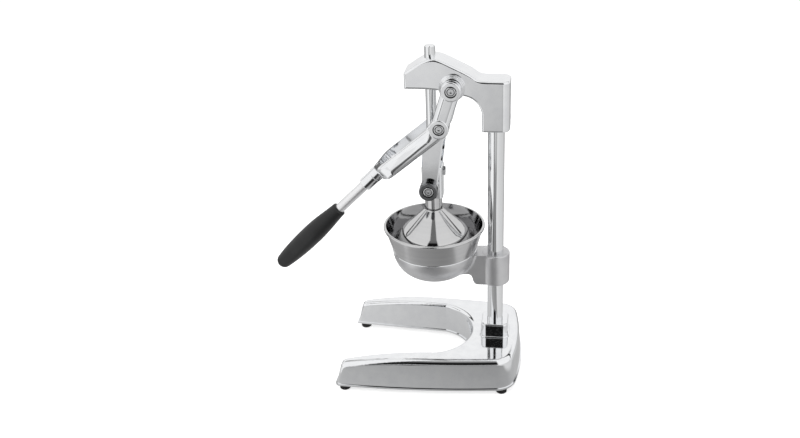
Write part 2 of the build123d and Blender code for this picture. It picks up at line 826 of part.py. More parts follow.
def make_strainer():
    wall = strainer_wall
    base = strainer_base_radius
    top = strainer_top_radius
    edge = bowl_seat_radius - bowl_wall - seat_clearance
    low = strainer_seat
    shoulder = low + strainer_height
    crown = shoulder + strainer_dome_height
    cone = spun(
        Line((edge, low), (edge, low + wall)),
        Line((edge, low + wall), (base + wall, low + wall)),
        Line((base + wall, low + wall), (top + wall, shoulder)),
        dome_arc(top + wall, shoulder, crown),
        Line((0, crown), (0, crown - wall)),
        dome_arc(top, shoulder, crown - wall),
        Line((top, shoulder), (base, low)),
        Line((base, low), (edge, low)),
    )
    slope = math.degrees(math.atan2(strainer_height, base - top))
    for ring in range(strainer_rings):
        share = (ring + strainer_first_ring) / (strainer_rings - 1 + 2 * strainer_first_ring)
        radius = base + (top - base) * share
        height = low + strainer_height * share
        for turn in range(strainer_holes_around):
            angle = 360 * (turn + 0.5 * (ring % 2)) / strainer_holes_around
            hole = Rot(0, 90 - slope, 0) * Cylinder(strainer_hole_radius, 8 * wall)
            cone -= Rot(0, 0, angle) * (Pos(radius, 0, height) * (Rot(0, slope, 0) * hole))
    return cone


def make_bowl():
    wall = bowl_wall
    low = ring_top + seat_clearance
    neck = ring_radius - ring_wall - seat_clearance
    floor = ring_top - bowl_depth
    spout_low = floor - spout_length
    rim = bowl_rim_radius - bowl_bead_radius
    outer = [
        Line((spout_radius, spout_low), (spout_radius, floor)),
        Line((spout_radius, floor), (bowl_floor_radius, floor)),
        TangentArc((neck, ring_top), (bowl_floor_radius, floor), tangent=(0, -1)),
        Line((neck, ring_top), (neck, low)),
        Line((neck, low), (bowl_seat_radius, low)),
        Line((bowl_seat_radius, low), (rim, rim_top)),
    ]
    inner = [
        Line((rim, rim_top), (rim - wall, rim_top)),
        Line((rim - wall, rim_top), (bowl_seat_radius - wall, low + wall)),
        Line((bowl_seat_radius - wall, low + wall), (neck - wall, low + wall)),
        Line((neck - wall, low + wall), (neck - wall, ring_top)),
        TangentArc((neck - wall, ring_top), (bowl_floor_radius, floor + wall), tangent=(0, -1)),
        Line((bowl_floor_radius, floor + wall), (spout_radius - wall, floor + wall)),
        Line((spout_radius - wall, floor + wall), (spout_radius - wall, spout_low)),
        Line((spout_radius - wall, spout_low), (spout_radius, spout_low)),
    ]
    bowl = spun(*outer, *inner)
    bead = Pos(0, 0, rim_top - bowl_bead_radius) * Torus(rim - bowl_wall / 8, bowl_bead_radius)
    return bowl + bead


def build_all():
    parts = {}
    parts["base_casting"] = make_base()
    for name, (x, y) in foot_places().items():
        parts["rubber_foot_" + name] = make_foot(x, y)
        parts["foot_screw_" + name] = make_foot_screw(x, y)
    parts["column_bar"] = make_column()
    parts["column_washer"] = make_column_washer()
    parts["column_bolt"] = make_column_bolt()
    parts["bowl_bracket"] = make_bracket()
    parts["bracket_set_screw"] = make_bracket_screw()
    parts["head_casting"] = make_head()
    parts["head_set_screw"] = make_head_screw()
    parts["lever_fork"] = make_lever()
    parts["handle_collar"] = make_collar()
    parts["handle_tube"] = make_handle_tube()
    parts["handle_grip"] = make_grip()
    parts["fulcrum_shaft"] = make_fulcrum_shaft()
    parts["guide_rod"] = make_rod()
    parts["crosshead"] = make_crosshead()
    parts["crosshead_set_screw"] = make_crosshead_screw()
    parts["press_bell"] = make_bell()
    parts["juice_bowl"] = make_bowl()
    parts["strainer_cone"] = make_strainer()
    seat = lever_eye_end - pivot_counterbore_depth
    for name, side in sides.items():
        shank = cap_screw_length - 1
        parts["fulcrum_screw_" + name] = cap_screw(
            fulcrum_reach, fulcrum_height, seat, side, cap_screw_radius, shank
        )
        parts["knee_pin_" + name] = cap_screw(
            knee_reach, knee_height, seat, side, stub_pin_radius, seat - arm_inside
        )
        parts["link_" + name] = make_link(side)
        parts["crosshead_cap_" + name] = make_crosshead_cap(side)
        cap_seat = cap_end - pivot_counterbore_depth
        reach = cap_seat - (crosshead_half_width - pin_depth + seat_clearance)
        parts["crosshead_pin_" + name] = cap_screw(
            crosshead_pivot_reach, crosshead_height, cap_seat, side, stub_pin_radius, reach
        )
    return parts


def place(name, x, z):
    print("place", name, round(x - middle, 4), 0.0, round(z, 4))


os.makedirs("parts", exist_ok=True)
parts = build_all()
boxes = [shape.bounding_box() for shape in parts.values()]
middle = (min(box.min.X for box in boxes) + max(box.max.X for box in boxes)) / 2

# The finished part stands with its origin on the table, at the middle of its length
for node, shape in parts.items():
    export_step(Pos(-middle, 0, 0) * shape, "parts/" + node + ".step")

place("rod_axis", 0, 0)
place("fulcrum", fulcrum_reach, fulcrum_height)
place("knee", knee_reach, knee_height)
place("crosshead_pivot", crosshead_pivot_reach, crosshead_height)
print("rod rise", round(rod_rise, 5), "link swing", round(math.degrees(link_swing), 5))
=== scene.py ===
import json
import math

import bmesh
import bpy
from mathutils import Matrix, Vector


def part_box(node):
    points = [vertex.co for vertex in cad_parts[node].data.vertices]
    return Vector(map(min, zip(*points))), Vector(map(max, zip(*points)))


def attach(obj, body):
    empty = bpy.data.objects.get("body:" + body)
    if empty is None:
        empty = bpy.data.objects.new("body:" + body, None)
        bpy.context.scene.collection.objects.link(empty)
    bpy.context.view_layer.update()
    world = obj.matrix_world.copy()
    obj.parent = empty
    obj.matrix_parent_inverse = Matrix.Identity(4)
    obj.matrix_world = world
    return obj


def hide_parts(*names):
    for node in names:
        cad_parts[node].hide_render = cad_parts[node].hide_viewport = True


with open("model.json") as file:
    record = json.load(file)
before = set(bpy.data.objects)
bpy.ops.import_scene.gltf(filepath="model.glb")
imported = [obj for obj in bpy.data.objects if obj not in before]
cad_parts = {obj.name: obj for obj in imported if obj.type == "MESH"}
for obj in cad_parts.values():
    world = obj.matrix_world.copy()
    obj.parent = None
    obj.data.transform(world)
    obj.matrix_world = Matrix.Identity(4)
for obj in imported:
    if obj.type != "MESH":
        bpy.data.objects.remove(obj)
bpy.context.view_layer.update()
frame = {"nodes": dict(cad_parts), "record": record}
nodes = frame["nodes"]
print("frame loaded:", len(nodes), "nodes")

# Where the photograph was taken from, in the frame: metres, degrees, and mm for the lens
camera = {
    "target": (0.07457, 0.0, 0.200),
    "azimuth": 5.98,
    "elevation": 26.58,
    "roll": 0.72,
    "distance": 1.06216,
    "lens": 40.73,
    "sensor": 36.0,
    "shiftX": -0.0744,
}


def makeCamera(view):
    azimuth = math.radians(view["azimuth"])
    elevation = math.radians(view["elevation"])
    roll = math.radians(view["roll"])
    back = Vector((
        math.sin(azimuth) * math.cos(elevation),
        -math.cos(azimuth) * math.cos(elevation),
        math.sin(elevation),
    ))
    right = Vector((math.cos(azimuth), math.sin(azimuth), 0.0))
    up = back.cross(right)
    turnedRight = math.cos(roll) * right - math.sin(roll) * up
    turnedUp = math.sin(roll) * right + math.cos(roll) * up
    place = Matrix((turnedRight, turnedUp, back)).transposed().to_4x4()
    place.translation = Vector(view["target"]) + view["distance"] * back
    data = bpy.data.cameras.new("camera")
    data.lens = view["lens"]
    data.sensor_width = view["sensor"]
    data.shift_x = view["shiftX"]
    cameraObject = bpy.data.objects.new("camera", data)
    cameraObject.matrix_world = place
    bpy.context.scene.collection.objects.link(cameraObject)
    bpy.context.scene.camera = cameraObject


makeCamera(camera)
print("camera placed")


# A hex colour as opaque linear light
def linear(hexColor):
    parts = [int(hexColor[i:i + 2], 16) / 255 for i in (1, 3, 5)]
    return [c / 12.92 if c <= 0.04045 else ((c + 0.055) / 1.055) ** 2.4 for c in parts] + [1.0]


# Links or sets a node's inputs, by name with _ for a space, or by number as in0 and in1
def setInputs(tree, node, **inputs):
    for name, value in inputs.items():
        key = int(name[2:]) if name.startswith("in") and name[2:].isdigit() else name.replace("_", " ")
        socket = node.inputs[key]
        if isinstance(value, bpy.types.NodeSocket):
            tree.links.new(value, socket)
        else:
            socket.default_value = value


# Adds one node, sets its properties and gives it its inputs
def addNode(tree, kind, settings=None, **inputs):
    node = tree.nodes.new(kind)
    for name, value in (settings or {}).items():
        setattr(node, name, value)
    setInputs(tree, node, **inputs)
    return node


# A new material, its tree, its shader and the point on the piece, in metres
def startMaterial(name):
    material = bpy.data.materials.new(name)
    material.use_nodes = True
    tree = material.node_tree
    place = addNode(tree, "ShaderNodeTexCoord").outputs["Object"]
    return material, tree, tree.nodes["Principled BSDF"], place


def rampStops(ramp, stops):
    elements = ramp.color_ramp.elements
    # a new stop gets its own place below
    while len(elements) < len(stops):
        elements.new(0.5)
    for element, (place, hexColor) in zip(elements, stops):
        element.position = place
        element.color = linear(hexColor)


# The two values that a noise mostly lies between
noiseSpan = (0.3, 0.7)


# Lets patterns set a shader's colour by stops, its roughness between two ends, and its skin by
# bumps laid one on another, each with its strength and its depth in mm
def applyPatterns(tree, shader, tint=None, rough=None, span=noiseSpan, bumps=()):
    if tint:
        pattern, stops = tint
        ramp = addNode(tree, "ShaderNodeValToRGB", Fac=pattern)
        rampStops(ramp, stops)
        setInputs(tree, shader, Base_Color=ramp.outputs["Color"])
    if rough:
        pattern, ends = rough
        mapped = addNode(
            tree, "ShaderNodeMapRange", Value=pattern,
            From_Min=span[0], From_Max=span[1], To_Min=ends[0], To_Max=ends[1],
        )
        setInputs(tree, shader, Roughness=mapped.outputs["Result"])
    under = {}
    for pattern, (strength, depth) in bumps:
        bump = addNode(
            tree, "ShaderNodeBump", Height=pattern, Strength=strength, Distance=depth / 1000, **under
        )
        under = {"Normal": bump.outputs["Normal"]}
    setInputs(tree, shader, **under)


# Chrome plate on a buffed zinc casting: mirror bright, faintly wavy, with a soft haze in patches
castPlate = {
    "tint": [(0.3, "#F1F2F3"), (0.7, "#EBECEE")],   # from clear to hazy
    "roughness": (0.055, 0.085),
    "hazeSpan": (0.35, 0.75),    # the noise's values between which the plate grows rougher
    "hazePitch": 12.0,           # mm across a patch of haze
    "wavePitch": 26.0,           # mm between the soft waves that buffing leaves
    "waveBump": (0.02, 4.0),     # strength, and depth in mm
    "markPitch": 1.6,            # mm between fine wiping marks
    "markBump": (0.02, 0.4),
}


def castChrome():
    material, tree, shader, place = startMaterial("chrome_plated_zinc_casting")
    look = castPlate
    waves = addNode(tree, "ShaderNodeTexNoise", Vector=place, Scale=1000 / look["wavePitch"], Detail=1.0)
    haze = addNode(tree, "ShaderNodeTexNoise", Vector=place, Scale=1000 / look["hazePitch"], Detail=3.0)
    marks = addNode(tree, "ShaderNodeTexNoise", Vector=place, Scale=1000 / look["markPitch"], Detail=2.0)
    applyPatterns(
        tree, shader, tint=(haze.outputs["Fac"], look["tint"]),
        rough=(haze.outputs["Fac"], look["roughness"]), span=look["hazeSpan"],
        bumps=[(waves.outputs["Fac"], look["waveBump"]), (marks.outputs["Fac"], look["markBump"])],
    )
    setInputs(tree, shader, Metallic=1.0)
    return material


# Chrome plate on a ground and polished steel bar: mirror bright, with faint lines round the bar
barPlate = {
    "color": "#EEEFF0",
    "roughness": (0.05, 0.09),
    "grindPitch": 0.9,           # mm, drawn coarser than real grinding lines
    "acrossScale": 12.0,         # per metre, the lines' slow change across the bar
    "bump": (0.02, 0.2),         # strength, and depth in mm
}


def barChrome():
    material, tree, shader, place = startMaterial("chrome_plated_ground_bar")
    look = barPlate
    scale = (look["acrossScale"], look["acrossScale"], 1000 / look["grindPitch"])
    squeezed = addNode(tree, "ShaderNodeMapping", Vector=place, Scale=scale).outputs["Vector"]
    lines = addNode(tree, "ShaderNodeTexNoise", Vector=squeezed, Scale=1.0, Detail=2.0).outputs["Fac"]
    applyPatterns(tree, shader, rough=(lines, look["roughness"]), bumps=[(lines, look["bump"])])
    setInputs(tree, shader, Base_Color=linear(look["color"]), Metallic=1.0)
    return material


# Aluminium tube, drawn, brushed lengthways and anodised: pale and satin, with fine lines along it
tubeFinish = {
    "color": "#F3F3F4",
    "roughness": (0.26, 0.34),
    "linePitch": 0.35,           # mm
    "alongScale": 20.0,          # per metre, the lines' slow change along the tube
    "lean": 44.7,                # degrees that the tube runs below level
    "bump": (0.1, 0.2),          # strength, and depth in mm
}


def satinTube():
    material, tree, shader, place = startMaterial("satin_anodised_aluminium_tube")
    look = tubeFinish
    pitch = 1000 / look["linePitch"]
    # turned, so that the pattern lies along the tube
    turned = addNode(
        tree, "ShaderNodeVectorRotate", {"rotation_type": "Y_AXIS"},
        Vector=place, Angle=math.radians(-look["lean"]),
    )
    squeezed = addNode(
        tree, "ShaderNodeVectorMath", {"operation": "MULTIPLY"},
        in0=turned.outputs[0], in1=(look["alongScale"], pitch, pitch),
    ).outputs[0]
    lines = addNode(tree, "ShaderNodeTexNoise", Vector=squeezed, Scale=1.0, Detail=2.0).outputs["Fac"]
    applyPatterns(tree, shader, rough=(lines, look["roughness"]), bumps=[(lines, look["bump"])])
    setInputs(tree, shader, Base_Color=linear(look["color"]), Metallic=1.0)
    return material


# Stainless sheet spun on a lathe and brushed while it turned: satin, with rings about its axis
spinning = {
    "axis": (0.0445749, 0.0),    # the bowl's axis in the frame, m
    "tint": [(0.3, "#CFCFCF"), (0.7, "#C8C8C9")],
    "ringPitch": 0.5,            # mm between turning lines, drawn coarser than real
    "bandPitch": 6.0,            # mm between broad bands of tint
    "anisotropy": 0.5,
    "polished": {"roughness": (0.05, 0.0675), "bump": (0.01, 0.15)},
    "brushed": {"roughness": (0.15, 0.2025), "bump": (0.12, 0.15)},
}


def spunStainless(name, surface):
    material, tree, shader, place = startMaterial(name)
    across, along = spinning["axis"]
    centred = addNode(tree, "ShaderNodeMapping", Vector=place, Location=(-across, -along, 0.0))
    parts = addNode(tree, "ShaderNodeSeparateXYZ", Vector=centred.outputs["Vector"])
    flat = addNode(tree, "ShaderNodeCombineXYZ", X=parts.outputs["X"], Y=parts.outputs["Y"])
    radius = addNode(tree, "ShaderNodeVectorMath", {"operation": "LENGTH"}, in0=flat.outputs["Vector"])
    section = addNode(tree, "ShaderNodeCombineXYZ", X=radius.outputs["Value"], Z=parts.outputs["Z"])
    rings, bands = (
        addNode(tree, "ShaderNodeTexNoise", Vector=section.outputs["Vector"], Scale=scale, Detail=detail)
        for scale, detail in ((1000 / spinning["ringPitch"], 2.0), (1000 / spinning["bandPitch"], 1.0))
    )
    applyPatterns(
        tree, shader, tint=(bands.outputs["Fac"], spinning["tint"]),
        rough=(rings.outputs["Fac"], surface["roughness"]),
        bumps=[(rings.outputs["Fac"], surface["bump"])],
    )
    setInputs(tree, shader, Metallic=1.0, Anisotropic=spinning["anisotropy"])
    return material


# The bowl's inside is polished brighter than its brushed outside, and is told by where it faces.
# Its colour is darker than the outside's: painted shade for the darker reflections inside the bowl
bowlInside = {"rimCentre": (0.0445749, 0.0, 0.1927), "color": "#B6B6B7", "roughness": 0.07}


def spunBowl():
    material = spunStainless("spun_bowl_stainless", spinning["brushed"])
    tree = material.node_tree
    shader = tree.nodes["Principled BSDF"]
    place = addNode(tree, "ShaderNodeTexCoord")
    toRim = addNode(
        tree, "ShaderNodeVectorMath", {"operation": "SUBTRACT"},
        in0=bowlInside["rimCentre"], in1=place.outputs["Object"],
    )
    facing = addNode(
        tree, "ShaderNodeVectorMath", {"operation": "DOT_PRODUCT"},
        in0=place.outputs["Normal"], in1=toRim.outputs[0],
    )
    inside = addNode(
        tree, "ShaderNodeMath", {"operation": "GREATER_THAN"}, in0=facing.outputs["Value"], in1=0.0
    )
    rough = addNode(
        tree, "ShaderNodeMapRange", Value=inside.outputs[0],
        To_Min=shader.inputs["Roughness"].links[0].from_socket, To_Max=bowlInside["roughness"],
    )
    # the inside's darker colour is painted shade
    tint = addNode(
        tree, "ShaderNodeMix", {"data_type": "RGBA"}, in0=inside.outputs[0],
        in6=shader.inputs["Base Color"].links[0].from_socket, in7=linear(bowlInside["color"]),
    )
    setInputs(tree, shader, Roughness=rough.outputs["Result"], Base_Color=tint.outputs[2])
    return material


# Satin nickel plate on a vibrated zinc casting: grey and softly shining, with a fine even grain
castSatin = {
    "tint": [(0.35, "#DADADB"), (0.7, "#CFCFD1")],
    "roughness": (0.36, 0.42),
    "grain": 0.8,                # mm
    "patch": 20.0,               # mm across a duller patch
    "bump": (0.04, 0.2),         # strength, and depth in mm
}


def castSatinNickel():
    material, tree, shader, place = startMaterial("satin_plated_zinc_casting")
    look = castSatin
    grain = addNode(tree, "ShaderNodeTexNoise", Vector=place, Scale=1000 / look["grain"], Detail=2.0)
    patches = addNode(tree, "ShaderNodeTexNoise", Vector=place, Scale=1000 / look["patch"], Detail=2.0)
    applyPatterns(
        tree, shader, tint=(patches.outputs["Fac"], look["tint"]),
        rough=(grain.outputs["Fac"], look["roughness"]), bumps=[(grain.outputs["Fac"], look["bump"])],
    )
    setInputs(tree, shader, Metallic=1.0)
    return material


# Black nickel plate on turned steel: a dark mirror, a little lighter where it has been handled
capPlate = {
    "tint": [(0.35, "#77787A"), (0.7, "#8B8C8E")],
    "roughness": (0.1, 0.18),
    "wear": 7.0,                 # mm across a worn patch
}


def blackNickel():
    material, tree, shader, place = startMaterial("black_nickel_plated_turned_steel")
    look = capPlate
    wear = addNode(tree, "ShaderNodeTexNoise", Vector=place, Scale=1000 / look["wear"], Detail=3.0)
    wear = wear.outputs["Fac"]
    applyPatterns(tree, shader, tint=(wear, look["tint"]), rough=(wear, look["roughness"]))
    setInputs(tree, shader, Metallic=1.0)
    return material


# Zinc plated machine screws and turned pins: greyer than the chrome, with a dull bright finish
screwPlate = {
    "tint": [(0.3, "#E2E3E4"), (0.7, "#D2D3D5")],
    "roughness": (0.1, 0.2),
    "haze": 2.5,                 # mm across a patch
}


def zincScrew():
    material, tree, shader, place = startMaterial("zinc_plated_turned_steel")
    look = screwPlate
    haze = addNode(tree, "ShaderNodeTexNoise", Vector=place, Scale=1000 / look["haze"], Detail=3.0)
    haze = haze.outputs["Fac"]
    applyPatterns(tree, shader, tint=(haze, look["tint"]), rough=(haze, look["roughness"]))
    setInputs(tree, shader, Metallic=1.0)
    return material


# Painted shade for the gap round a pivot screw, its turned groove and its socket: black, softly shining
gapShadePaint = {
    "tint": [(0.35, "#161616"), (0.7, "#2A2A2A")],
    "roughness": 0.45,
    "patch": 1.5,                # mm
    "refraction": 1.48,
}


# The painted shade's material, black with faint patches
def paintedGapShade():
    material, tree, shader, place = startMaterial("painted_shade_in_screw_gaps")
    look = gapShadePaint
    shadeFilm = addNode(tree, "ShaderNodeTexNoise", Vector=place, Scale=1000 / look["patch"], Detail=2.0)
    applyPatterns(tree, shader, tint=(shadeFilm.outputs["Fac"], look["tint"]))
    setInputs(tree, shader, Roughness=look["roughness"], IOR=look["refraction"])
    return material


# Injection moulded black polypropylene: a satin skin with a fine even grain
gripFinish = {
    "tint": [(0.35, "#0D0E0F"), (0.7, "#151617")],   # from untouched to worn
    "roughness": (0.42, 0.36),
    "grain": 0.45,               # mm
    "patch": 18.0,               # mm across a worn patch
    "bump": (0.12, 0.3),         # strength, and depth in mm
    "refraction": 1.49,
}


def mouldedGrip():
    material, tree, shader, place = startMaterial("moulded_black_polypropylene")
    look = gripFinish
    grain = addNode(tree, "ShaderNodeTexNoise", Vector=place, Scale=1000 / look["grain"], Detail=2.0)
    patches = addNode(tree, "ShaderNodeTexNoise", Vector=place, Scale=1000 / look["patch"], Detail=2.0)
    applyPatterns(
        tree, shader, tint=(patches.outputs["Fac"], look["tint"]),
        rough=(patches.outputs["Fac"], look["roughness"]), bumps=[(grain.outputs["Fac"], look["bump"])],
    )
    setInputs(tree, shader, IOR=look["refraction"])
    return material


# Moulded black rubber feet: matt and slightly dusty
rubberSkin = {
    "tint": [(0.4, "#121212"), (0.75, "#232323")],   # from bare to dusty
    "roughness": 0.78,
    "dust": 1.2,                 # mm
    "bump": (0.2, 0.3),          # strength, and depth in mm
    "refraction": 1.52,
}


def footRubber():
    material, tree, shader, place = startMaterial("moulded_black_rubber")
    look = rubberSkin
    dust = addNode(tree, "ShaderNodeTexNoise", Vector=place, Scale=1000 / look["dust"], Detail=3.0)
    dust = dust.outputs["Fac"]
    applyPatterns(tree, shader, tint=(dust, look["tint"]), bumps=[(dust, look["bump"])])
    setInputs(tree, shader, Roughness=look["roughness"], IOR=look["refraction"])
    return material


finishes = {
    "chromed_casting": castChrome(),
    "chromed_bar": barChrome(),
    "chromed_steel": castChrome(),
    "satin_tube": satinTube(),
    "polished_stainless": spunStainless("spun_mirror_polished_stainless", spinning["polished"]),
    "brushed_stainless": spunStainless("spun_brushed_stainless", spinning["brushed"]),
    "screw_steel": zincScrew(),
    "black_grip": mouldedGrip(),
    "black_rubber": footRubber(),
}
slotOf = {part["node"]: part["material_slot"] for part in frame["record"]["subparts"]}
# Pieces that look unlike the rest of their slot: the bracket is left satin, the bowl is brushed
# outside and polished inside, with painted shade darkening its inside, and the crosshead's caps are
# plated dark
ownFinish = {
    "bowl_bracket": castSatinNickel(),
    "juice_bowl": spunBowl(),
    "crosshead_cap_near": blackNickel(),
    "crosshead_cap_far": blackNickel(),
}
for name, node in nodes.items():
    node.data.materials.clear()
    node.data.materials.append(ownFinish.get(name) or finishes[slotOf[name]])
print("finishes given")

mergeDistance = 1e-6             # m, vertices closer than this are one
cutDistance = 1e-7               # m, a cut this close to a vertex goes through it
sharpAngles = {"grown": 40, "screw": 30, "lever": 28}   # degrees over which an edge stays sharp


# Writes a worked mesh to its data, with faces turned outwards and smooth but for the sharp edges
def writeMesh(work, data, sharpAngle):
    bmesh.ops.recalc_face_normals(work, faces=work.faces)
    for face in work.faces:
        face.smooth = True
    work.to_mesh(data)
    work.free()
    # normals that came with the CAD's mesh don't fit the worked one
    if "custom_normal" in data.attributes:
        data.attributes.remove(data.attributes["custom_normal"])
    data.set_sharp_from_angle(angle=math.radians(sharpAngle))


def addObject(name, data):
    piece = bpy.data.objects.new(name, data)
    bpy.context.scene.collection.objects.link(piece)
    return piece


# Turns what is built up along Z to stand out from the near side (-1) or the far side (1)
def outwards(side):
    return Matrix.Rotation(math.radians(-90 * side), 4, "X")


# The sizes that a node tree takes: lengths in metres, counts as they are
def treeSizes(size, *keys):
    return {key: size[key] if isinstance(size[key], int) else size[key] / 1000 for key in keys}


def newTree(name, sizes):
    tree = bpy.data.node_groups.new(name, "GeometryNodeTree")
    for inputName, value in sizes.items():
        kind = "NodeSocketInt" if isinstance(value, int) else "NodeSocketFloat"
        socket = tree.interface.new_socket(inputName, in_out="INPUT", socket_type=kind)
        socket.default_value = value
    tree.interface.new_socket("Finish", in_out="INPUT", socket_type="NodeSocketMaterial")
    tree.interface.new_socket("Mesh", in_out="OUTPUT", socket_type="NodeSocketGeometry")
    return tree, tree.nodes.new("NodeGroupInput"), tree.nodes.new("NodeGroupOutput")


def endTree(tree, given, result, geometry):
    real = addNode(tree, "GeometryNodeRealizeInstances", Geometry=geometry)
    dressed = addNode(
        tree, "GeometryNodeSetMaterial",
        Geometry=real.outputs["Geometry"], Material=given.outputs["Finish"],
    )
    setInputs(tree, result, Mesh=dressed.outputs["Geometry"])


# Evaluates a tree once with its sizes and its finish, and puts the plain mesh in its place
def growPiece(name, tree, sizes, finish, place):
    holder = addObject(name + "Holder", bpy.data.meshes.new(name + "Holder"))
    grower = holder.modifiers.new("grow", "NODES")
    grower.node_group = tree
    for item in tree.interface.items_tree:
        if item.in_out == "INPUT":
            grower[item.identifier] = finish if item.name == "Finish" else sizes[item.name]
    bpy.context.view_layer.update()
    grown = holder.evaluated_get(bpy.context.evaluated_depsgraph_get())
    data = bpy.data.meshes.new_from_object(grown)
    holder.modifiers.remove(grower)
    bpy.data.objects.remove(holder)
    data.name = name
    data.transform(place)
    work = bmesh.new()
    work.from_mesh(data)
    bmesh.ops.remove_doubles(work, verts=work.verts, dist=mergeDistance)
    writeMesh(work, data, sharpAngles["grown"])
    return addObject(name, data)


# Rings turned in the head's boss, a stack on each side that steps down to the lever's eye
fulcrumRings = {
    "count": 3,
    "firstRadius": 14.6,         # mm, beside the head
    "lastRadius": 12.4,          # mm, beside the lever's eye
    "boreRadius": 11.3,          # mm, a little inside the boss's skin
    "pitch": 1.85,               # mm along the shaft
    "thickness": 1.6,            # mm
    "edge": 0.45,                # mm
    "edgeSteps": 3,              # faces round each rounded edge
    "around": 96,                # faces round the ring
    "start": 17.05,              # mm from the middle to the first ring's back
    "center": (0.0700749, 0.366),    # m, across and up
}


# One ring's section is a small rounded rectangle, swept round the circle through its middle. Each
# ring of the stack is scaled across to its own radius
def ringTree(sizes):
    tree, given, result = newTree("fulcrumRings", sizes)
    first, bore = given.outputs["firstRadius"], given.outputs["boreRadius"]
    along = addNode(tree, "ShaderNodeCombineXYZ", Z=given.outputs["pitch"])
    steps = addNode(
        tree, "GeometryNodeMeshLine", {"mode": "OFFSET"},
        Count=given.outputs["count"], Offset=along.outputs[0],
    )
    index = addNode(tree, "GeometryNodeInputIndex")
    last = addNode(
        tree, "ShaderNodeMath", {"operation": "SUBTRACT"}, in0=given.outputs["count"], in1=1.0
    )
    passed = addNode(
        tree, "ShaderNodeMath", {"operation": "DIVIDE"}, in0=index.outputs[0], in1=last.outputs[0]
    )
    radius = addNode(
        tree, "ShaderNodeMapRange", Value=passed.outputs[0],
        To_Min=first, To_Max=given.outputs["lastRadius"],
    )
    scale = addNode(tree, "ShaderNodeMath", {"operation": "DIVIDE"}, in0=radius.outputs[0], in1=first)
    spread = addNode(tree, "ShaderNodeCombineXYZ", X=scale.outputs[0], Y=scale.outputs[0], Z=1.0)
    both = addNode(tree, "ShaderNodeMath", {"operation": "ADD"}, in0=first, in1=bore)
    middle = addNode(tree, "ShaderNodeMath", {"operation": "MULTIPLY"}, in0=both.outputs[0], in1=0.5)
    depth = addNode(tree, "ShaderNodeMath", {"operation": "SUBTRACT"}, in0=first, in1=bore)
    path = addNode(
        tree, "GeometryNodeCurvePrimitiveCircle", {"mode": "RADIUS"},
        Resolution=given.outputs["around"], Radius=middle.outputs[0],
    )
    section = addNode(
        tree, "GeometryNodeCurvePrimitiveQuadrilateral", {"mode": "RECTANGLE"},
        Width=depth.outputs[0], Height=given.outputs["thickness"],
    )
    rounded = addNode(
        tree, "GeometryNodeFilletCurve", {"mode": "POLY"}, Curve=section.outputs["Curve"],
        Count=given.outputs["edgeSteps"], Radius=given.outputs["edge"],
    )
    ring = addNode(
        tree, "GeometryNodeCurveToMesh",
        Curve=path.outputs["Curve"], Profile_Curve=rounded.outputs["Curve"],
    )
    placed = addNode(
        tree, "GeometryNodeInstanceOnPoints", Points=steps.outputs["Mesh"],
        Instance=ring.outputs["Mesh"], Scale=spread.outputs[0],
    )
    endTree(tree, given, result, placed.outputs["Instances"])
    return tree


def makeFulcrumRings():
    size = fulcrumRings
    sizes = treeSizes(
        size, "count", "firstRadius", "lastRadius", "boreRadius", "pitch", "thickness", "edge",
        "edgeSteps", "around",
    )
    tree = ringTree(sizes)
    across, up = size["center"]
    start = (size["start"] + size["thickness"] / 2) / 1000
    for name, side in (("near", -1), ("far", 1)):
        place = Matrix.Translation((across, side * start, up)) @ outwards(side)
        rings = growPiece("fulcrum_rings_" + name, tree, sizes, finishes["chromed_casting"], place)
        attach(rings, "frame")


# Sweeps a round section along a path, as a chromed bead that is part of the frame's castings
def makeBead(name, tree, given, result, path, sizes, place):
    section = addNode(
        tree, "GeometryNodeCurvePrimitiveCircle", {"mode": "RADIUS"},
        Resolution=given.outputs["sectionSteps"], Radius=given.outputs["radius"],
    )
    bead = addNode(
        tree, "GeometryNodeCurveToMesh",
        Curve=path.outputs["Curve"], Profile_Curve=section.outputs["Curve"],
    )
    endTree(tree, given, result, bead.outputs["Mesh"])
    piece = growPiece(name, tree, sizes, finishes["chromed_casting"], Matrix.Translation(place))
    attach(piece, "frame")


# A bead of metal round the foot of the column's boss, square with rounded corners
bossBead = {
    "side": 34.0,                # mm across the boss's foot
    "cornerRadius": 7.2,
    "cornerSteps": 12,
    "radius": 1.3,
    "sectionSteps": 16,
    "place": (0.1170749, 0.0, 0.0477),   # m
}


def makeBossBead():
    sizes = treeSizes(bossBead, "side", "cornerRadius", "cornerSteps", "radius", "sectionSteps")
    tree, given, result = newTree("bossBead", sizes)
    square = addNode(
        tree, "GeometryNodeCurvePrimitiveQuadrilateral", {"mode": "RECTANGLE"},
        Width=given.outputs["side"], Height=given.outputs["side"],
    )
    path = addNode(
        tree, "GeometryNodeFilletCurve", {"mode": "POLY"}, Curve=square.outputs["Curve"],
        Count=given.outputs["cornerSteps"], Radius=given.outputs["cornerRadius"],
    )
    makeBead("boss_bead", tree, given, result, path, sizes, bossBead["place"])


# The bright turned edge of the bracket's cup, a thin line just under the bowl's flange
cupEdge = {
    "ringRadius": 50.0,          # mm
    "around": 160,
    "radius": 0.65,
    "sectionSteps": 12,
    "place": (0.0445749, 0.0, 0.16235),  # m
}


def makeCupEdge():
    sizes = treeSizes(cupEdge, "ringRadius", "around", "radius", "sectionSteps")
    tree, given, result = newTree("cupEdge", sizes)
    path = addNode(
        tree, "GeometryNodeCurvePrimitiveCircle", {"mode": "RADIUS"},
        Resolution=given.outputs["around"], Radius=given.outputs["ringRadius"],
    )
    makeBead("cup_edge", tree, given, result, path, sizes, cupEdge["place"])


# A row of vertices round the axis, one for each radius in mm
def vertexRow(work, radii, height):
    turn = 2 * math.pi / len(radii)
    return [
        work.verts.new((radius * math.cos(turn * step), radius * math.sin(turn * step), height))
        for step, radius in enumerate(radii)
    ]


# Joins two rows by a band of faces, in the piece's first or second finish
def joinRows(work, row, nextRow, finish):
    for step in range(len(row)):
        following = (step + 1) % len(row)
        face = work.faces.new((row[step], row[following], nextRow[following], nextRow[step]))
        face.material_index = finish


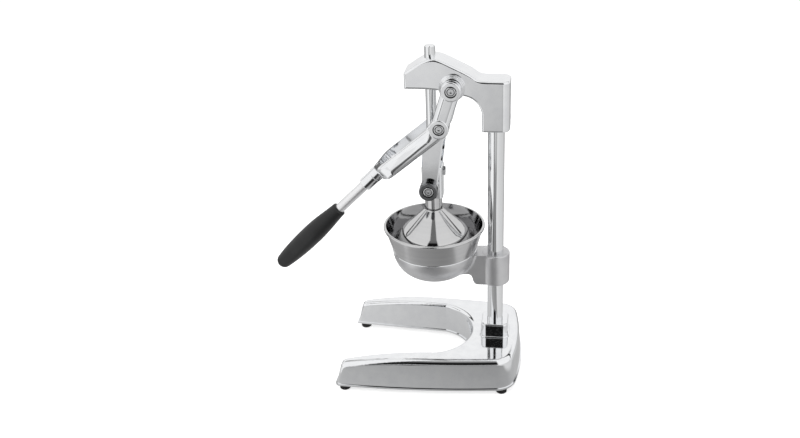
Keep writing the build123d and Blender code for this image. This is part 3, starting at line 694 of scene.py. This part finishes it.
# Closes a row by a fan of faces about one more vertex, on the axis
def closeRow(work, row, height):
    tip = work.verts.new((0.0, 0.0, height))
    for step, vert in enumerate(row):
        work.faces.new((vert, row[(step + 1) % len(row)], tip))


# Pivot screws: a turned head with a groove round its hexagon socket, in a narrow gap painted dark as
# shade
pivotScrews = {
    "headRadius": 5.6,           # mm
    "headHeight": 4.7,
    "edge": 0.6,                 # mm, the rounded rim
    "edgeShoulder": 0.3,         # share of the edge at which its middle point lies
    "grooveRadius": 3.95,        # mm, the middle of the turned groove
    "grooveWidth": 0.6,
    "grooveDepth": 0.8,
    "outerBevel": 0.15,          # mm, at the groove's outer wall
    "innerBevel": 0.2,
    "dish": 0.5,                 # mm, how far the middle lies under the rim
    "socketAcross": 3.0,         # mm across the flats
    "socketDepth": 2.6,
    "drillPoint": 0.6,           # mm, the cone at the socket's bottom
    "shankGap": 0.3,             # mm by which the shank ends short of the plain screw's
    "around": 48,                # faces round the screw
    "shadeFilmRadius": 6.55,          # mm, the painted shade's film on the counterbore's wall
    "shadeFilmThickness": 0.2,
    "shadeFilmDrop": 0.25,            # mm from the screw's face to the painted shade's edge
}
# For each screw: the body that it turns with and its shank's radius in mm
screws = {
    "fulcrum_screw_near": ("lever", 3.0), "fulcrum_screw_far": ("lever", 3.0),
    "knee_pin_near": ("lever", 4.0), "knee_pin_far": ("lever", 4.0),
    "crosshead_pin_near": ("links", 4.0), "crosshead_pin_far": ("links", 4.0),
}


# A new head for a pivot screw, turned about the screw's own axis, over its plain shank. It is
# built in mm with its face at 0, and each row says whether steel or painted shade follows it
def makePivotScrew(name, body, shankRadius, screwShade):
    size = pivotScrews
    low, high = (Vector(corner) * 1000 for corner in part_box(name))
    side = -1 if low.y < 0 else 1
    head, edge, dish = size["headHeight"], size["edge"], size["dish"]
    shoulder = size["edgeShoulder"] * edge
    shankEnd = -(high.y - low.y - size["shankGap"])
    outer = size["grooveRadius"] + size["grooveWidth"] / 2
    inner = size["grooveRadius"] - size["grooveWidth"] / 2
    # the screw's steel, and the painted shade on the head's side, in the groove and in the socket
    steel, shaded = 0, 1
    profile = [
        (shankRadius, shankEnd, steel),
        (shankRadius, -head, steel),
        (size["headRadius"], -head, shaded),
        (size["headRadius"], -edge, steel),
        (size["headRadius"] - shoulder, -shoulder, steel),
        (size["headRadius"] - edge, 0.0, steel),
        (outer + size["outerBevel"], 0.0, steel),
        (outer, -size["outerBevel"], shaded),
        (outer, -size["grooveDepth"], shaded),
        (inner, -size["grooveDepth"], shaded),
        (inner, -dish - size["innerBevel"], steel),
        (inner - size["innerBevel"], -dish, steel),
    ]
    count = size["around"]
    work = bmesh.new()
    rows = [vertexRow(work, [radius] * count, height) for radius, height, finish in profile]
    sixth = math.pi / 3
    angles = [2 * math.pi * step / count for step in range(count)]
    hexagon = [size["socketAcross"] / 2 / math.cos(angle % sixth - sixth / 2) for angle in angles]
    rows += [vertexRow(work, hexagon, height) for height in (-dish, -size["socketDepth"])]
    bands = [finish for radius, height, finish in profile] + [shaded]
    for row, nextRow, finish in zip(rows, rows[1:], bands):
        joinRows(work, row, nextRow, finish)
    closeRow(work, rows[0], shankEnd)
    closeRow(work, rows[-1], -size["socketDepth"] - size["drillPoint"])
    # a thin film of painted shade on the counterbore's wall, in the gap round the head
    wall, skin = size["shadeFilmRadius"], size["shadeFilmRadius"] - size["shadeFilmThickness"]
    shadeFilmPoints = [(wall, -head), (wall, -size["shadeFilmDrop"]), (skin, -size["shadeFilmDrop"]), (skin, -head)]
    shadeFilm = [vertexRow(work, [radius] * count, height) for radius, height in shadeFilmPoints]
    for row, nextRow in zip(shadeFilm, shadeFilm[1:] + shadeFilm[:1]):
        joinRows(work, row, nextRow, shaded)
    data = bpy.data.meshes.new(name + "_turned")
    writeMesh(work, data, sharpAngles["screw"])
    face = Vector(((low.x + high.x) / 2, low.y if side < 0 else high.y, (low.z + high.z) / 2))
    data.transform(Matrix.Translation(face / 1000) @ outwards(side) @ Matrix.Scale(0.001, 4))
    data.materials.append(finishes["screw_steel"])
    data.materials.append(screwShade)
    piece = addObject(name + "_turned", data)
    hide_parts(name)
    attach(piece, body)


# The outer sides of the lever's lower arms lean back above a crest line, so that they mirror the sky
armSides = {
    "knee": (56.363, 323.035),   # mm
    "drop": 39.8,                # degrees that the lower arms run below level
    "offset": 2.4,               # mm that their middle lies under the knee
    "crest": -2.5,               # mm above the middle, where the lean starts
    "lean": 17.0,                # degrees
    "startReach": (12.0, 20.0),  # mm from the knee, where the lean comes in
    "endReach": (76.0, 92.0),    # mm from the knee, where it goes out again
    "inside": 23.0,              # mm from the middle plane, the arms' inner faces, which stay
    "outsideDepth": 4.0,         # mm from there to where the lean is full
}


# How far a value has come from the low to the high end of a range, 0 to 1
def passedShare(value, low, high):
    return min(max((value - low) / (high - low), 0.0), 1.0)


def makeLever():
    size = armSides
    slot = slotOf["lever_fork"]
    drop = math.radians(size["drop"])
    along = Vector((-math.cos(drop), 0.0, -math.sin(drop)))
    up = Vector((-math.sin(drop), 0.0, math.cos(drop)))
    kneeAcross, kneeUp = size["knee"]
    start = Vector((kneeAcross, 0.0, kneeUp)) - size["offset"] * up
    work = bmesh.new()
    work.from_mesh(nodes["lever_fork"].data)
    bmesh.ops.remove_doubles(work, verts=work.verts, dist=mergeDistance)
    cuts = [(start + size["crest"] * up, up)]
    cuts += [(start + reach * along, along) for reach in (*size["startReach"], *size["endReach"])]
    for point, normal in cuts:
        parts = list(work.verts) + list(work.edges) + list(work.faces)
        bmesh.ops.bisect_plane(
            work, geom=parts, dist=cutDistance, plane_co=point / 1000, plane_no=normal
        )
    for vert in work.verts:
        place = vert.co * 1000 - start
        reach, rise = place.dot(along), place.dot(up) - size["crest"]
        if rise <= 0 or reach <= size["startReach"][0] or reach >= size["endReach"][1]:
            continue
        amount = passedShare(reach, *size["startReach"]) * (1 - passedShare(reach, *size["endReach"]))
        amount *= passedShare(abs(place.y), size["inside"], size["inside"] + size["outsideDepth"])
        move = rise * math.tan(math.radians(size["lean"])) * amount
        vert.co.y -= math.copysign(move / 1000, place.y)
    data = bpy.data.meshes.new("lever_casting")
    writeMesh(work, data, sharpAngles["lever"])
    data.materials.clear()
    data.materials.append(finishes[slot])
    piece = addObject("lever_casting", data)
    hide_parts("lever_fork")
    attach(piece, "lever")


makeLever()
makeFulcrumRings()
makeBossBead()
makeCupEdge()
# the painted shade for the pivot screws' gaps, grooves and sockets
screwShade = paintedGapShade()
for name, (body, shankRadius) in screws.items():
    makePivotScrew(name, body, shankRadius, screwShade)
print("lever, rings, beads and screws made")

# The room that the metal mirrors, and the lamps. Lengths are in metres and angles in degrees
studio = {
    "floorSize": 6.0,
    "floorColor": "#F4F4F4",
    "floorRoughness": 0.9,
    "floorGlow": 0.62,           # added for the camera only, so that the floor reads white
    "roomColor": "#E6E6E6",
    "ambient": 0.5,
    "gapHalfAngle": 19,          # each side of straight in front
    "gapEdge": 2,                # half the width of its soft edge
    # in the gap, from the back wall's foot over the top to the front wall's foot
    "gapShades": [
        (0.0, "#F0F0F0"), (0.03, "#F6F6F6"), (0.20, "#FFFFFF"), (0.215, "#3A3A3A"),
        (0.245, "#3A3A3A"), (0.265, "#FFFFFF"), (0.50, "#FAFAFA"), (0.56, "#8A8A8A"),
        (0.69, "#7C7C7C"), (0.72, "#6A6A6A"), (0.745, "#181818"), (0.97, "#141414"),
        (1.0, "#6A6A6A"),
    ],
    # outside the gap, round the room from behind, by the left, the front and the right
    "panelShades": [
        (0.0, "#F4F4F4"), (0.12, "#F8F8F8"), (0.135, "#4A4A4A"), (0.15, "#9A9A9A"),
        (0.185, "#9A9A9A"), (0.197, "#3C3C3C"), (0.212, "#FFFFFF"), (0.5, "#FFFFFF"),
        (0.788, "#FFFFFF"), (0.803, "#3C3C3C"), (0.815, "#9A9A9A"), (0.85, "#9A9A9A"),
        (0.865, "#4A4A4A"), (0.88, "#F8F8F8"), (1.0, "#F4F4F4"),
    ],
    "laneCentre": 0.03,
    "laneHalfWidth": {"near": 0.16, "far": 0.32},   # at the object, and in front of it
    "laneNarrows": {"from": -0.8, "to": -0.45},     # along y
    "laneEdge": (1.06, 0.98),    # the soft edge's outer and inner side, in half widths
    # along the lane, from front to back
    "laneEnds": {"front": -1.0, "back": 0.6},
    "laneShades": [
        (0.0, "#CCCCCC"), (0.205, "#C2C2C2"), (0.245, "#9C9C9C"), (0.42, "#8E8E8E"),
        (0.53, "#A6A6A6"), (0.58, "#B4B4B4"), (0.598, "#C6C6C6"), (0.65, "#C6C6C6"),
        (0.70, "#DADADA"), (1.0, "#E6E6E6"),
    ],
    # the lane is lit from the left: how much lighter and darker it is at its two sides
    "laneSlope": {"from": -0.12, "to": 0.12, "left": 1.24, "right": 0.86},
    # beside the lane, round the object from behind, by the left, the front and the right
    "besideCentre": 0.06,
    "besideShades": [
        (0.0, "#D0D0D0"), (0.05, "#9A9A9A"), (0.08, "#6A6A6A"), (0.11, "#6A6A6A"),
        (0.16, "#B8B8B8"), (0.28, "#C4C4C4"), (0.32, "#FFFFFF"), (0.5, "#FFFFFF"),
        (0.6, "#E4E4E4"), (0.8, "#D6D6D6"), (0.88, "#B8B8B8"), (0.92, "#7A7A7A"),
        (1.0, "#A0A0A0"),
    ],
    # the panel's own shadow, a dark streak from the column's foot to the left and forward
    "streakCentre": 0.117,
    "streakStart": (-0.18, -0.26),   # along y, where it comes in
    "streakShades": [
        (0.418, "#FFFFFF"), (0.424, "#585858"), (0.442, "#585858"), (0.448, "#FFFFFF"),
    ],
    # places and sizes in metres, power in watts
    "lamps": {
        "key": {"place": (-0.9, -1.2, 1.5), "size": 1.2, "power": 13.0},
        "fill": {"place": (1.3, -0.7, 1.0), "size": 1.0, "power": 5.0},
        "top": {"place": (0.1, 0.3, 1.9), "size": 1.6, "power": 12.0},
    },
}


# Shades by the direction from a centre, from behind by the left, the front and the right, and
# the angle itself, 0 straight in front
def shadesAround(tree, parts, centre, shades):
    across = addNode(
        tree, "ShaderNodeMath", {"operation": "SUBTRACT"}, in0=parts.outputs["X"], in1=centre
    )
    forward = addNode(
        tree, "ShaderNodeMath", {"operation": "MULTIPLY"}, in0=parts.outputs["Y"], in1=-1.0
    )
    angle = addNode(
        tree, "ShaderNodeMath", {"operation": "ARCTAN2"}, in0=across.outputs[0], in1=forward.outputs[0]
    )
    around = addNode(
        tree, "ShaderNodeMapRange", Value=angle.outputs[0], From_Min=-math.pi, From_Max=math.pi
    )
    ramp = addNode(tree, "ShaderNodeValToRGB", Fac=around.outputs["Result"])
    rampStops(ramp, shades)
    return ramp.outputs["Color"], angle.outputs[0]


# The sky that the metal mirrors: white side panels with a gap in front of the object, where the
# darker room shows, and two narrow seams between the panels and the back wall
def makeWorld(room):
    world = bpy.data.worlds.new("studio")
    world.use_nodes = True
    bpy.context.scene.world = world
    tree = world.node_tree
    tree.nodes.clear()
    rays = addNode(tree, "ShaderNodeLightPath")
    direction = addNode(tree, "ShaderNodeTexCoord").outputs["Generated"]
    parts = addNode(tree, "ShaderNodeSeparateXYZ", Vector=direction)
    # in half turns from the back wall's foot, so 0.5 is straight up and more is in front
    over = addNode(
        tree, "ShaderNodeMath", {"operation": "ARCTAN2"}, in0=parts.outputs["Z"], in1=parts.outputs["Y"]
    )
    halfTurns = addNode(
        tree, "ShaderNodeMath", {"operation": "DIVIDE"}, in0=over.outputs[0], in1=math.pi
    )
    gap = addNode(tree, "ShaderNodeValToRGB", Fac=halfTurns.outputs[0])
    rampStops(gap, room["gapShades"])
    panels, angle = shadesAround(tree, parts, 0.0, room["panelShades"])
    width = addNode(tree, "ShaderNodeMath", {"operation": "ABSOLUTE"}, in0=angle)
    beside = addNode(
        tree, "ShaderNodeMapRange", Value=width.outputs[0],
        From_Min=math.radians(room["gapHalfAngle"] - room["gapEdge"]),
        From_Max=math.radians(room["gapHalfAngle"] + room["gapEdge"]),
    )
    inFront = addNode(
        tree, "ShaderNodeMath", {"operation": "GREATER_THAN"}, in0=halfTurns.outputs[0], in1=0.5
    )
    panelled = addNode(
        tree, "ShaderNodeMath", {"operation": "MULTIPLY"},
        in0=beside.outputs["Result"], in1=inFront.outputs[0],
    )
    walls = addNode(
        tree, "ShaderNodeMix", {"data_type": "RGBA"},
        in0=panelled.outputs[0], in6=gap.outputs["Color"], in7=panels,
    )
    plain = addNode(
        tree, "ShaderNodeBackground", Color=linear(room["roomColor"]), Strength=room["ambient"]
    )
    mirrored = addNode(tree, "ShaderNodeBackground", Color=walls.outputs[2], Strength=1.0)
    white = addNode(tree, "ShaderNodeBackground", Color=linear("#FFFFFF"), Strength=1.0)
    indirect = addNode(
        tree, "ShaderNodeMixShader",
        in0=rays.outputs["Is Glossy Ray"], in1=plain.outputs[0], in2=mirrored.outputs[0],
    )
    picked = addNode(
        tree, "ShaderNodeMixShader",
        in0=rays.outputs["Is Camera Ray"], in1=indirect.outputs[0], in2=white.outputs[0],
    )
    addNode(tree, "ShaderNodeOutputWorld", Surface=picked.outputs[0])


# What the metal mirrors of the floor, as painted shades for mirrored rays only: a grey lane in front,
# under and behind the object, shaded by the distance, white or darker painted shade beside the lane, by
# the direction, and a dark streak
def floorShades(tree, place, room):
    parts = addNode(tree, "ShaderNodeSeparateXYZ", Vector=place)
    ends, narrows, slope = room["laneEnds"], room["laneNarrows"], room["laneSlope"]
    depth = addNode(
        tree, "ShaderNodeMapRange", Value=parts.outputs["Y"],
        From_Min=ends["front"], From_Max=ends["back"],
    )
    lane = addNode(tree, "ShaderNodeValToRGB", Fac=depth.outputs["Result"])
    rampStops(lane, room["laneShades"])
    halfWidth = addNode(
        tree, "ShaderNodeMapRange", Value=parts.outputs["Y"],
        From_Min=narrows["from"], From_Max=narrows["to"],
        To_Min=room["laneHalfWidth"]["far"], To_Max=room["laneHalfWidth"]["near"],
    )
    fromMiddle = addNode(
        tree, "ShaderNodeMath", {"operation": "SUBTRACT"}, in0=parts.outputs["X"], in1=room["laneCentre"]
    )
    halfWidths = addNode(
        tree, "ShaderNodeMath", {"operation": "DIVIDE"},
        in0=fromMiddle.outputs[0], in1=halfWidth.outputs["Result"],
    )
    eitherSide = addNode(tree, "ShaderNodeMath", {"operation": "ABSOLUTE"}, in0=halfWidths.outputs[0])
    inLane = addNode(
        tree, "ShaderNodeMapRange", Value=eitherSide.outputs[0],
        From_Min=room["laneEdge"][0], From_Max=room["laneEdge"][1],
    )
    lit = addNode(
        tree, "ShaderNodeMapRange", Value=parts.outputs["X"],
        From_Min=slope["from"], From_Max=slope["to"], To_Min=slope["left"], To_Max=slope["right"],
    )
    graded = addNode(
        tree, "ShaderNodeVectorMath", {"operation": "SCALE"},
        in0=lane.outputs["Color"], Scale=lit.outputs["Result"],
    )
    beside = shadesAround(tree, parts, room["besideCentre"], room["besideShades"])[0]
    streak = shadesAround(tree, parts, room["streakCentre"], room["streakShades"])[0]
    unmarked = addNode(
        tree, "ShaderNodeMix", {"data_type": "RGBA"},
        in0=inLane.outputs["Result"], in6=beside, in7=graded.outputs[0],
    )
    streaked = addNode(
        tree, "ShaderNodeMapRange", Value=parts.outputs["Y"],
        From_Min=room["streakStart"][0], From_Max=room["streakStart"][1],
    )
    marked = addNode(
        tree, "ShaderNodeMix", {"data_type": "RGBA", "blend_type": "MULTIPLY"},
        in0=streaked.outputs["Result"], in6=unmarked.outputs[2], in7=streak,
    )
    return marked.outputs[2]


# A white paper sweep, brightened for the camera, and with shades of its own for mirrored rays
def makeFloor(room):
    half = room["floorSize"] / 2
    mesh = bpy.data.meshes.new("floor")
    corners = [(-half, -half, 0), (half, -half, 0), (half, half, 0), (-half, half, 0)]
    mesh.from_pydata(corners, [], [(0, 1, 2, 3)])
    floor = addObject("floor", mesh)
    material, tree, shader, place = startMaterial("white_paper_sweep")
    setInputs(
        tree, shader, Base_Color=linear(room["floorColor"]), Roughness=room["floorRoughness"]
    )
    rays = addNode(tree, "ShaderNodeLightPath")
    glow = addNode(tree, "ShaderNodeEmission", Color=linear("#FFFFFF"), Strength=room["floorGlow"])
    seen = addNode(tree, "ShaderNodeAddShader", in0=shader.outputs[0], in1=glow.outputs[0])
    mirrored = addNode(
        tree, "ShaderNodeEmission", Color=floorShades(tree, place, room), Strength=1.0
    )
    indirect = addNode(
        tree, "ShaderNodeMixShader",
        in0=rays.outputs["Is Glossy Ray"], in1=shader.outputs[0], in2=mirrored.outputs[0],
    )
    picked = addNode(
        tree, "ShaderNodeMixShader",
        in0=rays.outputs["Is Camera Ray"], in1=indirect.outputs[0], in2=seen.outputs[0],
    )
    setInputs(tree, tree.nodes["Material Output"], Surface=picked.outputs[0])
    mesh.materials.append(material)


# A square lamp that lights the object but doesn't show in the metal
def makeLamp(name, lamp):
    data = bpy.data.lights.new(name, "AREA")
    data.shape = "SQUARE"
    data.size = lamp["size"]
    data.energy = lamp["power"]
    lampObject = bpy.data.objects.new(name, data)
    lampObject.visible_glossy = False
    toTarget = Vector(camera["target"]) - Vector(lamp["place"])
    place = toTarget.to_track_quat("-Z", "Y").to_matrix().to_4x4()
    place.translation = Vector(lamp["place"])
    lampObject.matrix_world = place
    bpy.context.scene.collection.objects.link(lampObject)


makeWorld(studio)
makeFloor(studio)
for name, lamp in studio["lamps"].items():
    makeLamp(name, lamp)
bpy.context.scene.view_settings.view_transform = "Standard"
print("studio built")
